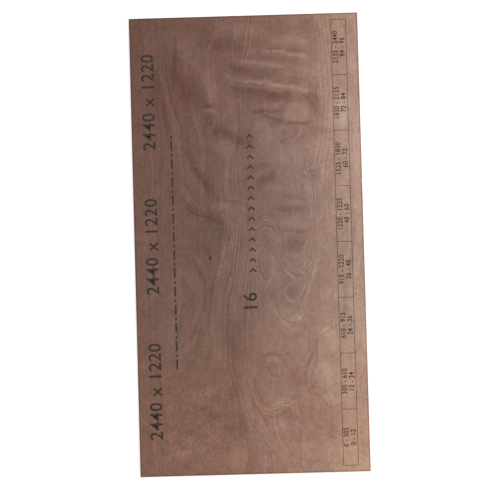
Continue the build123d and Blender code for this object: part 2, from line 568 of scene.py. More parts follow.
PLATES = [
    # the same, with an even middle and a clear edge
    (76, -130, 64, 112, 0.07), (76, -130, 40, 84, -0.05), (-208, 305, 26, 48, -0.09, 20),
    (362, 778, 38, 86, -0.09, 8), (268, 695, 66, 60, 0.15), (156, 778, 48, 29, -0.22),
    (232, 786, 36, 34, -0.20), (360, 728, 26, 64, -0.06, 33), (150, 632, 34, 22, -0.09),
    (254, 854, 32, 15, -0.10), (312, 814, 42, 14, 0.03, -25), (92, 592, 62, 66, 0.07, 12),
    (235, 478, 94, 66, 0.07), (65, 425, 68, 45, -0.06), (112, 352, 62, 36, -0.09, 20),
    (400, -528, 52, 78, 0.08), (165, -972, 140, 40, 0.05, -12), (330, -985, 70, 22, 0.05, -20),
    (374, -705, 60, 82, 0.09, -8), (402, -815, 26, 25, 0.13), (412, -484, 32, 22, 0.06),
    (228, -406, 34, 16, 0.11), (110, -690, 58, 70, -0.03), (190, -910, 42, 22, -0.08),
    (238, -818, 40, 17, -0.08), (214, -700, 32, 46, -0.08), (330, -1100, 108, 60, 0.08),
    (240, -975, 60, 46, -0.06), (-277, 812, 165, 52, -0.07, -48), (-190, 714, 40, 12, 0.18),
    (-212, 668, 46, 38, -0.09), (-125, 515, 74, 44, 0.07, -30), (-100, 1065, 100, 42, -0.12, -12),
    (0, 1145, 140, 32, 0.10, -9), (-45, 942, 42, 14, -0.10, -8), (20, 795, 115, 38, -0.05, -4),
    (-170, 855, 20, 95, 0.08, 6), (240, 1082, 110, 24, 0.13, -6), (70, 910, 118, 34, -0.13, -5),
    (302, 915, 40, 28, 0.09), (374, 590, 58, 26, -0.11), (120, 740, 70, 16, 0.06),
    (-155, 200, 42, 26, 0.10, 10), (-268, -876, 32, 9, -0.13, -4), (-212, -905, 34, 26, -0.13),
    (-135, -983, 34, 19, -0.13, -6), (-96, -780, 36, 42, -0.10), (-141, -833, 13, 10, -0.18),
    (-135, -794, 10, 8, -0.11), (-250, -780, 60, 30, 0.10), (-320, -170, 34, 50, 0.04),
    (-90, -1140, 70, 60, 0.10), (-420, -1115, 60, 30, 0.08, 10), (-280, -1085, 44, 24, 0.08),
    (-445, -880, 34, 60, 0.06), (60, -1150, 44, 30, 0.06, -30), (-300, 165, 60, 16, -0.07, -48),
    (-200, 128, 60, 16, -0.07, -14)]


def patch(x, y, middle_x, middle_y, half_x, half_y, change, turn=0, edge=1, rim=0.0):
    """A patch: change times a bell curve of the squared distance, measured along turned half widths.
    Raising that to a higher edge gives it an even middle and a clearer border, and rim draws that border
    in the other tone."""
    cosine, sine = np.cos(np.radians(turn)), np.sin(np.radians(turn))
    over_x, over_y = x - middle_x, y - middle_y
    wide = (over_x * cosine + over_y * sine) / half_x
    tall = (over_y * cosine - over_x * sine) / half_y
    apart = (wide**2 + tall**2) ** edge
    return change * np.exp(-apart) * (1.0 - rim * np.e * apart)


print(f"patches: {len(PATCHES)} soft ones and {len(PLATES)} plates")

# %% [markdown]
# ## Streaks across and along the grain
# Near the top right the fibres ripple, and catch the light as streaks across the grain. Longer and softer
# sweeps run beside the streams. Both are straight, so a bell curve across a line is enough.

# %% Sweeps and ripples
STREAK_EASE = 0.3
SWEEPS = [
    # start x, start y, end x, end y, half width above and below, change of shade
    (-380, 1130, -60, 640, 46, 26, 0.10), (-470, 1100, -250, 700, 42, 52, -0.09),
    (-250, 662, 100, 492, 32, 27, -0.13), (-300, 440, -180, 260, 16, 20, -0.06),
    (-205, 254, -5, 202, 8, 10, -0.12), (-350, 560, -240, 330, 16, 16, -0.08),
    (-330, 480, -200, 230, 14, 14, 0.07), (-365, 290, -270, 150, 12, 8, -0.06),
    (-310, 192, -130, 108, 18, 12, -0.11), (-300, 160, -120, 82, 10, 10, 0.06),
    (-215, -350, -50, -620, 18, 18, -0.05), (-235, -380, -330, -660, 17, 17, -0.08),
    (385, -40, 255, -410, 10, 10, 0.06), (-95, -850, -58, -1030, 11, 11, -0.10),
    (-148, -1030, -142, -1150, 9, 9, -0.10), (-186, -985, -172, -1145, 9, 9, -0.08),
    (-48, -810, 12, -960, 7, 7, 0.10), (240, -640, 300, -470, 20, 20, 0.06),
    (210, -1015, 240, -1200, 12, 12, 0.05), (-420, -700, -330, -480, 20, 20, 0.06),
    (-440, 330, -420, 20, 16, 16, -0.05), (-60, 665, 40, 622, 12, 10, 0.08),
    (330, -880, 470, -1040, 14, 14, -0.05), (-330, 860, -300, 560, 12, 12, -0.08)]
RIPPLES = [
    # the same, across the grain
    (80, 1036, 225, 1018, 9, 6, 0.29), (175, 1016, 370, 982, 9, 6, 0.26),
    (95, 1052, 345, 1018, 10, 7, -0.17), (0, 1004, 340, 962, 12, 16, -0.13),
    (-45, 974, 115, 956, 9, 6, 0.28), (80, 960, 235, 930, 10, 6, 0.26), (-85, 944, 60, 925, 8, 24, -0.14),
    (160, 884, 345, 866, 8, 7, -0.14), (-60, 872, 145, 850, 9, 6, 0.30), (110, 852, 270, 828, 9, 6, 0.30),
    (100, 850, 220, 837, 11, 8, 0.10), (225, 838, 355, 795, 11, 8, 0.21),
    (178, 880, 245, 826, 6, 6, -0.14), (-120, 838, 265, 796, 8, 34, -0.20),
    (250, 800, 420, 770, 10, 24, -0.12), (20, 703, 215, 697, 8, 7, -0.34),
    (75, 680, 215, 646, 7, 11, -0.32), (190, 643, 345, 631, 8, 9, -0.34),
    (-130, 339, -10, 345, 7, 7, -0.14), (25, 326, 175, 380, 11, 20, -0.12),
    (30, 424, 170, 404, 12, 12, -0.11), (45, 446, 120, 441, 6, 5, 0.11),
    (80, 198, 335, 166, 12, 22, -0.18), (140, 66, 345, 58, 8, 7, -0.18), (140, 110, 330, 96, 16, 12, 0.10),
    (70, 301, 220, 285, 16, 16, 0.10), (150, 252, 330, 232, 10, 12, -0.11),
    (170, 222, 350, 205, 10, 8, 0.10), (-235, 728, -148, 720, 9, 6, 0.12),
    (-235, 742, -145, 728, 14, 6, -0.16), (-110, 915, -30, 876, 12, 12, 0.08),
    (150, -60, 320, -66, 12, 12, 0.06)]


def streak(x, y, start_x, start_y, end_x, end_y, above, below, change):
    """A soft streak: a bell curve across the line from start to end, with one half width above it and
    another below, eased in and out along it."""
    run = np.hypot(end_x - start_x, end_y - start_y)
    way_x, way_y = (end_x - start_x) / run, (end_y - start_y) / run
    part = ((x - start_x) * way_x + (y - start_y) * way_y) / run
    off = ((y - start_y) * way_x - (x - start_x) * way_y) * np.sign(way_x)
    bell = np.exp(-((off / np.where(off > 0, above, below)) ** 2))
    return change * bell * ease(part / STREAK_EASE) * ease((1 - part) / STREAK_EASE)


print(f"streaks: {len(SWEEPS)} sweeps and {len(RIPPLES)} ripples")

# %% [markdown]
# ## Single lines that stand out
# Some growth lines are much paler or darker than their neighbours, round the eyes and along the tongue
# above all. They don't come from the ring count, which gives every line about the same weight, so each is
# a thread of its own.

# %% Threads
THREADS = [
    # half width, then the path: x, y, change of shade
    (8, [(-14, -680, 0), (-6, -750, 0.12), (8, -815, 0.14), (34, -862, 0.14), (66, -882, 0.10),
         (100, -886, 0)]),
    (9, [(-20, -740, 0), (-10, -790, -0.10), (10, -850, -0.14), (36, -896, -0.14), (62, -945, -0.14),
         (78, -990, 0)]),
    (8, [(6, -690, 0), (12, -750, -0.10), (26, -806, -0.12), (54, -846, -0.10), (95, -862, 0)]),
    (10, [(80, -240, 0), (88, -280, 0.10), (102, -328, 0.14), (136, -374, 0.14), (172, -420, 0.14),
          (212, -450, 0.14), (262, -454, 0.08), (280, -440, 0)]),
    (8, [(176, -226, 0), (186, -272, 0.10), (222, -314, 0.12), (258, -280, 0.10), (284, -222, 0)]),
    (9, [(194, -236, 0), (202, -266, -0.07), (222, -290, -0.08), (244, -264, -0.07), (260, -230, 0)]),
    (8, [(134, -316, 0), (170, -352, 0.08), (212, -362, 0.08), (246, -346, 0)]),
    (8, [(-394, 780, 0), (-386, 690, 0.10), (-374, 600, 0.12), (-356, 510, 0.10), (-346, 430, 0.06),
         (-346, 340, 0)]),
    (8, [(-292, 780, 0), (-270, 668, 0.12), (-252, 602, 0.12), (-232, 552, 0)]),
    (8, [(-168, 735, 0), (-161, 672, 0.10), (-176, 626, 0.10), (-198, 590, 0)]),
    (8, [(-86, 820, 0), (-72, 720, 0.08), (-58, 640, 0.10), (-60, 570, 0.10), (-84, 490, 0.08),
         (-106, 420, 0.08), (-108, 340, 0.08), (-98, 250, 0)]),
    (8, [(-60, 900, 0), (-46, 780, -0.08), (-34, 680, -0.10), (-34, 590, -0.10), (-56, 500, -0.08),
         (-80, 420, -0.08), (-84, 330, 0)]),
    (8, [(-128, 480, 0), (-134, 400, -0.08), (-132, 320, -0.10), (-122, 240, -0.08), (-118, 180, 0)]),
    (14, [(-302, 490, 0), (-284, 425, -0.09), (-262, 385, -0.12), (-232, 325, -0.11), (-202, 250, 0)]),
    (9, [(-346, 262, 0), (-322, 220, -0.16), (-302, 190, -0.12), (-286, 168, 0)]),
    (9, [(-240, -235, 0), (-248, -305, -0.10), (-270, -375, -0.14), (-298, -442, -0.20),
         (-328, -500, -0.20), (-378, -545, 0)]),
    (9, [(-306, -45, 0), (-286, -100, -0.14), (-262, -155, -0.18), (-243, -205, -0.14), (-236, -262, 0)]),
    (9, [(-338, -50, 0), (-364, -76, 0.08), (-378, -140, 0.10), (-384, -230, 0.08), (-380, -330, 0.06),
         (-382, -420, 0)]),
    (8, [(-248, 34, 0), (-230, -18, -0.12), (-213, -58, -0.12), (-206, -96, 0)]),
    (8, [(-362, 1110, 0), (-368, 1020, -0.14), (-376, 920, -0.18), (-384, 830, -0.12), (-388, 780, 0)]),
    (12, [(-478, 985, 0), (-462, 900, -0.12), (-444, 800, -0.14), (-432, 700, -0.12), (-420, 600, -0.10),
          (-414, 520, 0)]),
    (8, [(-462, 960, 0), (-438, 880, 0.12), (-416, 790, 0.12), (-404, 700, 0.10), (-398, 640, 0)]),
    (8, [(-470, 760, 0), (-452, 690, 0.08), (-430, 640, 0.10), (-418, 580, 0.08), (-412, 500, 0)]),
    (20, [(-178, 640, 0), (-125, 608, -0.12), (-72, 578, -0.14), (-24, 548, -0.12), (15, 528, 0)]),
    (8, [(-204, 1000, 0), (-202, 900, 0.08), (-200, 820, 0.10), (-184, 770, 0.08), (-168, 735, 0)]),
    (8, [(-206, 1010, 0), (-186, 1050, 0.09), (-160, 1090, 0.09), (-140, 1125, 0)]),
    (9, [(298, -820, 0), (303, -885, -0.13), (308, -940, -0.13), (332, -972, -0.10), (372, -1002, -0.10),
         (412, -1032, -0.07), (440, -1050, 0)]),
    (9, [(366, -478, 0), (362, -540, 0.06), (364, -598, 0.05), (346, -655, 0.05), (330, -700, 0)]),
    (9, [(300, -450, 0), (304, -520, -0.07), (314, -580, -0.09), (305, -625, -0.09), (282, -660, -0.06),
         (256, -690, 0)]),
    (10, [(340, -450, 0), (346, -520, -0.05), (351, -585, -0.05), (338, -634, -0.05), (318, -680, -0.05),
          (306, -725, -0.04), (306, -775, 0)]),
    (8, [(352, -498, 0), (366, -474, 0.09), (394, -460, 0.11), (425, -468, 0.07), (440, -490, 0)]),
    (8, [(186, -420, 0), (200, -438, -0.13), (226, -446, -0.16), (250, -436, -0.13), (264, -408, 0)]),
    (16, [(90, -425, 0), (145, -478, -0.08), (195, -500, -0.11), (242, -488, -0.11), (275, -455, -0.09),
          (292, -425, 0)]),
    (10, [(40, -612, 0), (66, -597, -0.12), (102, -586, -0.14), (142, -596, -0.12), (172, -628, -0.09),
          (184, -665, 0)]),
    (8, [(76, -640, 0), (92, -612, 0.08), (112, -603, 0.09), (136, -616, 0.07), (150, -645, 0)]),
    (12, [(70, -886, 0), (98, -870, 0.09), (128, -850, 0.09), (160, -840, 0.08), (205, -846, 0.06),
          (225, -870, 0)]),
    (10, [(50, -896, 0), (84, -916, -0.10), (124, -918, -0.12), (158, -896, -0.13), (186, -878, -0.13),
          (208, -898, -0.15), (230, -930, -0.13), (246, -962, 0)]),
    (10, [(66, -914, 0), (118, -926, -0.07), (178, -930, -0.08), (226, -932, -0.07), (250, -936, 0)]),
    (9, [(250, -870, 0), (250, -910, -0.08), (256, -960, -0.08), (275, -1000, 0)]),
    (8, [(222, -760, 0), (242, -754, -0.24), (262, -742, 0)]),
    (8, [(288, -784, 0), (308, -773, -0.24), (326, -758, 0)]),
    (9, [(-318, 222, 0), (-290, 172, -0.10), (-240, 146, -0.11), (-190, 128, -0.13), (-150, 118, -0.12),
         (-128, 132, 0)]),
    (9, [(-300, 236, 0), (-272, 196, -0.08), (-230, 176, -0.08), (-186, 160, -0.08), (-156, 160, -0.08),
         (-146, 196, 0)]),
    (8, [(-330, 690, 0), (-322, 600, -0.08), (-312, 520, -0.10), (-300, 450, -0.08), (-290, 400, 0)]),
    (8, [(60, -640, 0), (92, -668, -0.06), (128, -706, -0.08), (152, -748, -0.06), (160, -790, 0)]),
    (8, [(189, 762, 0), (191, 735, -0.09), (192, 700, -0.09), (192, 664, -0.08), (190, 640, 0)]),
    (8, [(298, 792, 0), (330, 770, -0.07), (361, 735, -0.08), (386, 690, -0.07), (396, 655, 0)]),
    (8, [(332, 806, 0), (364, 780, -0.07), (392, 738, -0.08), (408, 692, -0.07), (414, 650, 0)]),
    (8, [(84, 664, 0), (104, 638, 0.06), (124, 612, 0.07), (150, 597, 0.07), (178, 610, 0.06),
         (194, 630, 0)]),
    (9, [(82, 680, 0), (62, 648, 0.07), (42, 618, 0.07), (22, 586, 0)]),
    (8, [(180, 540, 0), (193, 545, -0.24), (206, 549, -0.20), (220, 553, 0)]),
    (8, [(192, 566, 0), (206, 588, -0.22), (220, 610, 0)]),
    (8, [(214, 546, 0), (244, 562, -0.12), (268, 588, -0.13), (281, 620, 0)]),
    (8, [(230, 538, 0), (264, 556, 0.10), (289, 584, 0.11), (300, 618, 0)]),
    (8, [(248, 530, 0), (284, 548, -0.12), (310, 580, -0.13), (321, 622, 0)]),
    (8, [(372, -40, 0), (357, -90, 0.10), (339, -160, 0.10), (318, -222, 0.10), (296, -282, 0.10),
         (274, -336, 0.10), (262, -390, 0.07), (257, -430, 0)]),
    (8, [(331, -66, 0), (316, -120, 0.09), (290, -165, 0.11), (264, -192, 0.12), (246, -202, 0.12),
         (227, -184, 0.12), (206, -157, 0.10), (188, -126, 0.08), (177, -94, 0)]),
    (9, [(46, -44, 0), (60, -27, 0.07), (84, -25, 0.08), (106, -50, 0.08), (120, -90, 0.08),
         (123, -136, 0.08), (114, -184, 0.08), (92, -216, 0.08), (79, -246, 0.06), (80, -276, 0)])]


def thread(x, y, half_width, points):
    """A thin line along a path (x, y, change of shade): a bell curve of the distance to its nearest
    stretch."""
    nearest, change = np.full(x.shape, np.inf), np.zeros(x.shape)
    for away, _, tone in stretches(x, y, points):
        change = np.where(away < nearest, tone, change)
        nearest = np.minimum(nearest, away)
    return change * np.exp(-((nearest / half_width) ** 2))


print(f"threads: {len(THREADS)}")

# %% [markdown]
# ## Flecks, and the shade in all
# Some places are full of small dark flecks, where the knife tore short grain. A second number says how
# thick they lie. The shade then adds up every mark, at places that noise has moved, so that no border is
# a clean curve.

# %% Flecks and shade
# Rows are a place across or along the sheet, and the shade there, which is the wood's tone together with
# painted light, lighter to the right and towards the bottom
TONE_AND_PAINTED_LIGHT_ACROSS = [
    (-610, 0.23), (-480, 0.24), (-250, 0.275), (0, 0.35), (160, 0.50), (330, 0.64), (400, 0.74),
    (470, 0.80), (610, 0.95)]
TONE_AND_PAINTED_LIGHT_ALONG = [(-1220, 0.21), (-1050, 0.17), (-700, 0.11), (-300, 0.03), (300, -0.025), (1220, -0.015)]
FLECKS_EVERYWHERE = 0.1
FLECK_MOTTLE = (0.10, 47, 55, 42)
FLECK_PATCHES = [(338, 385, 58, 85, 1.0), (-330, -1000, 230, 320, 0.8), (-185, -30, 112, 75, 0.35)]
SHADE_DRIFT_X = [(16, 45, 70, 90), (7, 46, 30, 40)]
SHADE_DRIFT_Y = [(10, 41, 110, 90), (6, 44, 48, 60)]
SHADE_MOTTLE = [(0.06, 42, 60, 80), (0.05, 43, 25, 34)]


def between(rows, at):
    """Straight lines between the rows (place, value) of a table."""
    return np.interp(at, *np.transpose(rows))


def flecks(x, y):
    """How thick the small dark flecks lie, from a little everywhere to 1."""
    return FLECKS_EVERYWHERE + total(patch, FLECK_PATCHES, x, y)


def shade(x, y):
    """From dark on the left to light on the right and at the bottom, which is partly the wood's tone and
    partly painted light, plus every patch, plate and streak at a place that noise has moved, every thread,
    and mottling that is stronger among the flecks."""
    moved_x = x + total(mottle, SHADE_DRIFT_X, x, y)
    moved_y = y + total(mottle, SHADE_DRIFT_Y, x, y)
    # The broad fall across and along the sheet is partly painted light, lighter to the right and at the
    # bottom
    level = between(TONE_AND_PAINTED_LIGHT_ACROSS, x) + between(TONE_AND_PAINTED_LIGHT_ALONG, y)
    level += total(patch, PATCHES, moved_x, moved_y)
    level += total(patch, PLATES, moved_x, moved_y, edge=PLATE_EDGE, rim=PLATE_RIM)
    level += total(streak, SWEEPS + RIPPLES, moved_x, moved_y)
    level += total(thread, THREADS, x, y) + total(mottle, SHADE_MOTTLE, x, y)
    return level + flecks(x, y) * mottle(x, y, *FLECK_MOTTLE)


face_fields = {"growth": ring_field, "gap": gap_field, "shade": shade(sheet_x, sheet_y)}
print(f"shade: {face_fields['shade'].min():.2f} to {face_fields['shade'].max():.2f}")

# %% [markdown]
# ## Hue, and how clearly the lines show
# The wood also drifts between pink and grey, and between rosy and straw yellow. Those are two more
# numbers, made of the same shapes. A last one, the clarity, says how clearly the ring lines show, because
# in some places they are crisp and in others the sander and the light have all but wiped them out.

# %% Hue and clarity
MIDDLE_CLARITY = 0.5
HIGHEST_CLARITY = 1.4
WARM_MOTTLE = [(0.14, 51, 90, 100), (0.12, 52, 36, 40)]
STRAW_MOTTLE = [(0.20, 53, 70, 60)]
WARM_ALONG = [
    (-1220, 0.95), (-900, 0.75), (-600, 0.45), (-200, 0.22), (300, 0.22), (700, 0.42), (1220, 0.55)]
WARM_PATCHES = [
    (365, -1005, 250, 188, 0.20), (-535, 95, 75, 1125, 0.15), (502, 700, 60, 120, -0.35),
    (40, -900, 40, 30, 0.30), (40, -1040, 50, 70, -0.40, -30), (300, -760, 80, 130, 0.14),
    (-340, 800, 120, 150, 0.30), (100, 570, 70, 70, -0.30), (-220, 60, 80, 50, -0.30),
    (-120, -50, 90, 160, -0.20, 15), (-250, -790, 70, 40, 0.25), (70, -130, 50, 100, -0.25),
    (330, 60, 60, 60, 0.25), (200, 1150, 140, 60, 0.20)]
WARM_PLATES = [
    (165, -972, 150, 44, 0.40, -12), (75, -1138, 88, 56, 0.45), (345, -1168, 84, 38, 0.30),
    (315, -800, 48, 84, 0.25), (240, -640, 66, 80, 0.20), (400, -528, 52, 78, -0.12),
    (380, -705, 54, 84, -0.12, -8), (402, -832, 34, 36, -0.12), (190, -908, 46, 26, -0.30),
    (238, -818, 42, 20, -0.25), (-205, 75, 78, 34, -0.25), (330, -1072, 108, 38, -0.25),
    (98, -705, 70, 112, -0.08), (412, -915, 50, 44, -0.25)]
STRAW_ACROSS = [(-610, 0.0), (320, 0.0), (420, 0.22), (610, 0.22)]
STRAW_ALONG = [
    (-1220, 0.50), (-600, 0.46), (-300, 0.18), (0, 0.08), (500, 0.08), (1000, 0.15), (1220, 0.35)]
STRAW_PLATES = [
    (165, -972, 150, 44, -0.45, -12), (75, -1138, 88, 56, -0.45), (345, -1168, 84, 38, -0.45),
    (255, -650, 60, 70, -0.25), (300, -760, 60, 170, -0.25)]
CLARITY_PATCHES = [
    (-75, 200, 60, 300, 0.45), (-140, -260, 90, 260, 0.45), (40, -960, 70, 260, 0.30, 25),
    (90, 70, 110, 100, 0.15), (250, -130, 120, 130, -0.12), (240, -370, 110, 90, 0.30),
    (390, 720, 90, 520, -0.05), (-410, 780, 80, 330, 0.45, 10), (-220, 180, 110, 90, 0.35),
    (-260, 660, 60, 190, 0.65, 15), (260, -900, 230, 300, -0.05), (-270, -420, 90, 200, 0.20),
    (-110, 30, 90, 200, 0.20, 15), (-315, -70, 70, 60, -0.35), (-530, -100, 50, 1100, -0.30),
    (-250, -980, 220, 250, -0.50), (90, -690, 80, 80, -0.30), (-440, -560, 70, 50, -0.45),
    (-75, 700, 50, 350, -0.15), (-520, 1120, 70, 220, -0.45), (-250, -680, 70, 80, -0.50),
    (-130, -450, 80, 170, -0.25), (-325, -200, 60, 75, -0.50), (-356, 500, 60, 240, -0.60),
    (-105, -480, 40, 330, -0.35), (530, -640, 90, 380, -0.60), (325, -600, 60, 170, -0.02),
    (380, -830, 80, 50, -0.25), (420, -1050, 150, 90, -0.32), (170, -1120, 120, 120, -0.20),
    (190, -880, 80, 60, 0.25), (30, -500, 40, 110, -0.40)]


def warmth(x, y):
    """How pink the wood is, from 0 for grey to 1: by the place along the sheet, with patches, plates and
    mottling."""
    level = between(WARM_ALONG, y) + total(mottle, WARM_MOTTLE, x, y) + total(patch, WARM_PATCHES, x, y)
    return np.clip(level + total(patch, WARM_PLATES, x, y, edge=PLATE_EDGE), 0.0, 1.0)


def straw(x, y):
    """How yellow the wood is, from 0 for rosy to 1 for straw: by the place on the sheet, with plates and
    mottling."""
    level = between(STRAW_ACROSS, x) + between(STRAW_ALONG, y) + total(mottle, STRAW_MOTTLE, x, y)
    return np.clip(level + total(patch, STRAW_PLATES, x, y, edge=PLATE_EDGE), 0.0, 1.0)


def clarity(x, y):
    """How clearly the ring lines show: 0 is not at all, 1 is clearly, and a few places go beyond."""
    return np.clip(MIDDLE_CLARITY + total(patch, CLARITY_PATCHES, x, y), 0.0, HIGHEST_CLARITY)


for field in (clarity, warmth, straw, flecks):
    face_fields[field.__name__] = field(sheet_x, sheet_y)
print("fields:", ", ".join(f"{name} {values.mean():.2f}" for name, values in face_fields.items()))

# %% [markdown]
# ## Building the panel's mesh
# The arrays go into one mesh, and the figure goes with them as named attributes, which the materials
# read. The back veneer came off the same log, so it has the same figure turned end for end.

# %% Panel mesh and its attributes
def new_piece(name, points, polygons, materials):
    """A mesh object at the origin from points in millimetres, riding on the sheet's one body."""
    mesh = bpy.data.meshes.new(name)
    mesh.from_pydata(np.asarray(points) * MM, [], polygons)
    for finish in materials:
        mesh.materials.append(finish)
    piece = add_object(name, mesh)
    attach(piece, "root")
    return piece


panel = new_piece("plywood_panel", panel_points, panel_quads.tolist(), [])
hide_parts("plywood_sheet")
for name, values in face_fields.items():
    on_face = values.ravel()
    on_panel = np.concatenate([on_face, on_face[::-1], np.tile(on_face[rim], len(section))])
    panel.data.attributes.new(name, "FLOAT", "POINT").data.foreach_set("value", on_panel.astype(np.float32))
print(f"panel mesh: {len(panel.data.vertices)} points with {len(panel.data.attributes)} attributes")

# %% [markdown]
# ## Node groups: fibre, rings and sealer
# Effects that more than one finish uses are node groups. Fibre is fine noise drawn out along the grain,
# with pores as short dark dashes. Rings turn the growth attribute into thin pale lines and soft bands.
# Sealer is a ragged border where the edge sealer strayed on to the two faces. A noise is given by five
# numbers: how many features it has to the metre along X, Y and Z, its octaves, and its roughness.

# %% Fibre group
STREAK_LAYERS = [
    # a noise, and its share
    ((170, 5, 170, 4, 0.55), 0.20), ((240, 105, 240, 4, 0.7), 0.60), ((1500, 40, 1500, 3, 0.6), 0.26)]
PORE_NOISE = (900, 75, 900, 2, 0.55)
PORE_RANGE = (0.62, 0.69)


def new_group(name, inputs, outputs):
    """An empty shader node group with named sockets. Returns the tree, what it is given and the node that
    it feeds."""
    tree = bpy.data.node_groups.new(name, "ShaderNodeTree")
    for way, sockets in (("INPUT", inputs), ("OUTPUT", outputs)):
        for socket, kind in sockets.items():
            tree.interface.new_socket(socket, in_out=way, socket_type="NodeSocket" + kind)
    return tree, tree.nodes.new("NodeGroupInput").outputs, tree.nodes.new("NodeGroupOutput")


def use_group(tree, group, inputs):
    """Places a node group in a tree and returns its outputs."""
    return place(tree, "Group", inputs, node_tree=group).outputs


def grain_noise(tree, where, across, along, through, octaves, roughness):
    """Noise from 0 to 1 with that many features to the metre along X, Y and Z."""
    scale = {0: where, 1: (across, along, through)}
    scaled = place(tree, "VectorMath", scale, operation="MULTIPLY").outputs[0]
    inputs = {"Vector": scaled, "Scale": 1.0, "Detail": octaves, "Roughness": roughness}
    return place(tree, "TexNoise", inputs).outputs[0]


def centred(tree, value):
    """A value from 0 to 1, moved down to run from -0.5 to 0.5."""
    return calc(tree, "SUBTRACT", value, 0.5)


def wood_fibre():
    """Streak: 0.5 plus each centred noise times its share. Pore: the peaks of a noise of short dashes."""
    tree, given, gives = new_group("wood_fibre", {"Place": "Vector"}, {"Streak": "Float", "Pore": "Float"})
    fibres = 0.5
    for noise, share in STREAK_LAYERS:
        fibres = times_plus(tree, centred(tree, grain_noise(tree, given["Place"], *noise)), share, fibres)
    pores = remap(tree, grain_noise(tree, given["Place"], *PORE_NOISE), *PORE_RANGE)
    feed(tree, gives, {"Streak": fibres, "Pore": pores})
    return tree


fibre_group = wood_fibre()
print(f"fibre: {len(fibre_group.nodes)} nodes")

# %% Ring group
RING_INPUTS = {"Place": "Vector", "Growth": "Float", "Gap": "Float", "Clarity": "Float"}
RING_WOBBLE = 0.22
WOBBLE_NOISE = (45, 14, 45, 4, 0.55)
LINE_WIDTH = 4.8
LINE_SPREAD = 0.10
LEAST_STRENGTH = 0.45
COME_AND_GO_NOISE = (14, 5, 14, 2, 0.55)
BAND_NOISE = {"Scale": 1.3, "Detail": 3.0, "Roughness": 0.6}
BAND_CLARITY = (0.8, 0.4)
# Ranges are the start and end of a smooth step, then what it gives there
LINE_FADE = (16.0, 60.0, 1.0, 0.1)
BAND_FADE = (15.0, 70.0, 1.0, 0.3)
COME_AND_GO = (0.3, 0.7, 0.4, 1.0)


def growth_rings():
    """Line: pale where the ring count, wobbled by noise, is a whole number. It reaches a fixed width plus a
    share of the gap to the next ring, with a strength that is drawn for each ring and comes and goes.
    Band: soft noise along the ring count. Both fade where the gap is wide, and follow the clarity."""
    tree, given, gives = new_group("growth_rings", RING_INPUTS, {"Line": "Float", "Band": "Float"})
    wobble = centred(tree, grain_noise(tree, given["Place"], *WOBBLE_NOISE))
    count = times_plus(tree, wobble, 2 * RING_WOBBLE, given["Growth"])
    off_line = calc(tree, "MULTIPLY", calc(tree, "PINGPONG", count, 0.5), given["Gap"])
    reach = times_plus(tree, given["Gap"], LINE_SPREAD, LINE_WIDTH)
    ring_number = calc(tree, "FLOOR", calc(tree, "ADD", count, 0.5))
    drawn = place(tree, "TexWhiteNoise", {"W": ring_number}, noise_dimensions="1D").outputs[0]
    come_and_go = remap(tree, grain_noise(tree, given["Place"], *COME_AND_GO_NOISE), *COME_AND_GO)
    line = one_less(tree, remap(tree, off_line, 0.0, reach))
    for share in (times_plus(tree, drawn, 1.0 - LEAST_STRENGTH, LEAST_STRENGTH),
                  remap(tree, given["Gap"], *LINE_FADE), come_and_go, given["Clarity"]):
        line = calc(tree, "MULTIPLY", line, share)
    band = place(tree, "TexNoise", {"W": count, **BAND_NOISE}, noise_dimensions="1D").outputs[0]
    clear = times_plus(tree, given["Clarity"], *BAND_CLARITY)
    fade = calc(tree, "MULTIPLY", remap(tree, given["Gap"], *BAND_FADE), clear)
    feed(tree, gives, {"Line": line, "Band": times_plus(tree, centred(tree, band), fade, 0.5)})
    return tree


ring_group = growth_rings()
print(f"rings: {len(ring_group.nodes)} nodes")

# %% Sealer group
SEALER_REACH = 7.0
SEALER_FRAY = 5.0
SEALER_SOFT = (-1.5, 2.5)
FRAY_NOISE = (22, 22, 22, 5, 0.65)


def stray_sealer():
    """Cover: 1 within a ragged distance of the nearest edge of the sheet and 0 further in, with a soft
    border."""
    tree, given, gives = new_group("stray_sealer", {"Place": "Vector"}, {"Cover": "Float"})
    spot = place(tree, "SeparateXYZ", {0: given["Place"]}).outputs
    to_side, to_end = (calc(tree, "SUBTRACT", half * MM, calc(tree, "ABSOLUTE", along))
                       for half, along in ((HALF_WIDTH, spot[0]), (HALF_LENGTH, spot[1])))
    to_edge = calc(tree, "DIVIDE", calc(tree, "MINIMUM", to_side, to_end), MM)
    fray = centred(tree, grain_noise(tree, given["Place"], *FRAY_NOISE))
    reach = times_plus(tree, fray, 2 * SEALER_FRAY, SEALER_REACH)
    past_reach = remap(tree, calc(tree, "SUBTRACT", to_edge, reach), *SEALER_SOFT)
    feed(tree, gives, {"Cover": one_less(tree, past_reach)})
    return tree


sealer_group = stray_sealer()
print(f"sealer: {len(sealer_group.nodes)} nodes")

# %% [markdown]
# ## The veneer's colour
# The shade picks a brown from a ramp, and there are two ramps, a pink one and a grey one, because the
# wood varies between them. Ring lines, bands and fibres shift the shade before the ramp, so that a paler
# line is also the right hue for its lightness. A tint then makes it rosy or straw yellow, and flecks and
# pores are darker marks on top.

# %% Colour ramps
# Rows are a shade, then a brown as an image editor shows it
GREY_BROWNS = [
    (0.0, (92, 65, 53)), (0.25, (112, 84, 71)), (0.5, (132, 104, 91)), (0.75, (153, 125, 110)),
    (1.0, (181, 151, 134)), (1.25, (207, 178, 160))]
PINK_BROWNS = [
    (0.0, (97, 62, 48)), (0.25, (117, 80, 65)), (0.5, (137, 99, 83)), (0.75, (157, 119, 101)),
    (1.0, (184, 146, 125)), (1.25, (210, 172, 150))]
ROSY_TINT = (1.0, 1.0, 1.07, 1.0)
STRAW_TINT = (1.0, 1.0, 0.91, 1.0)
MARK_BROWN = srgb(62, 42, 34)


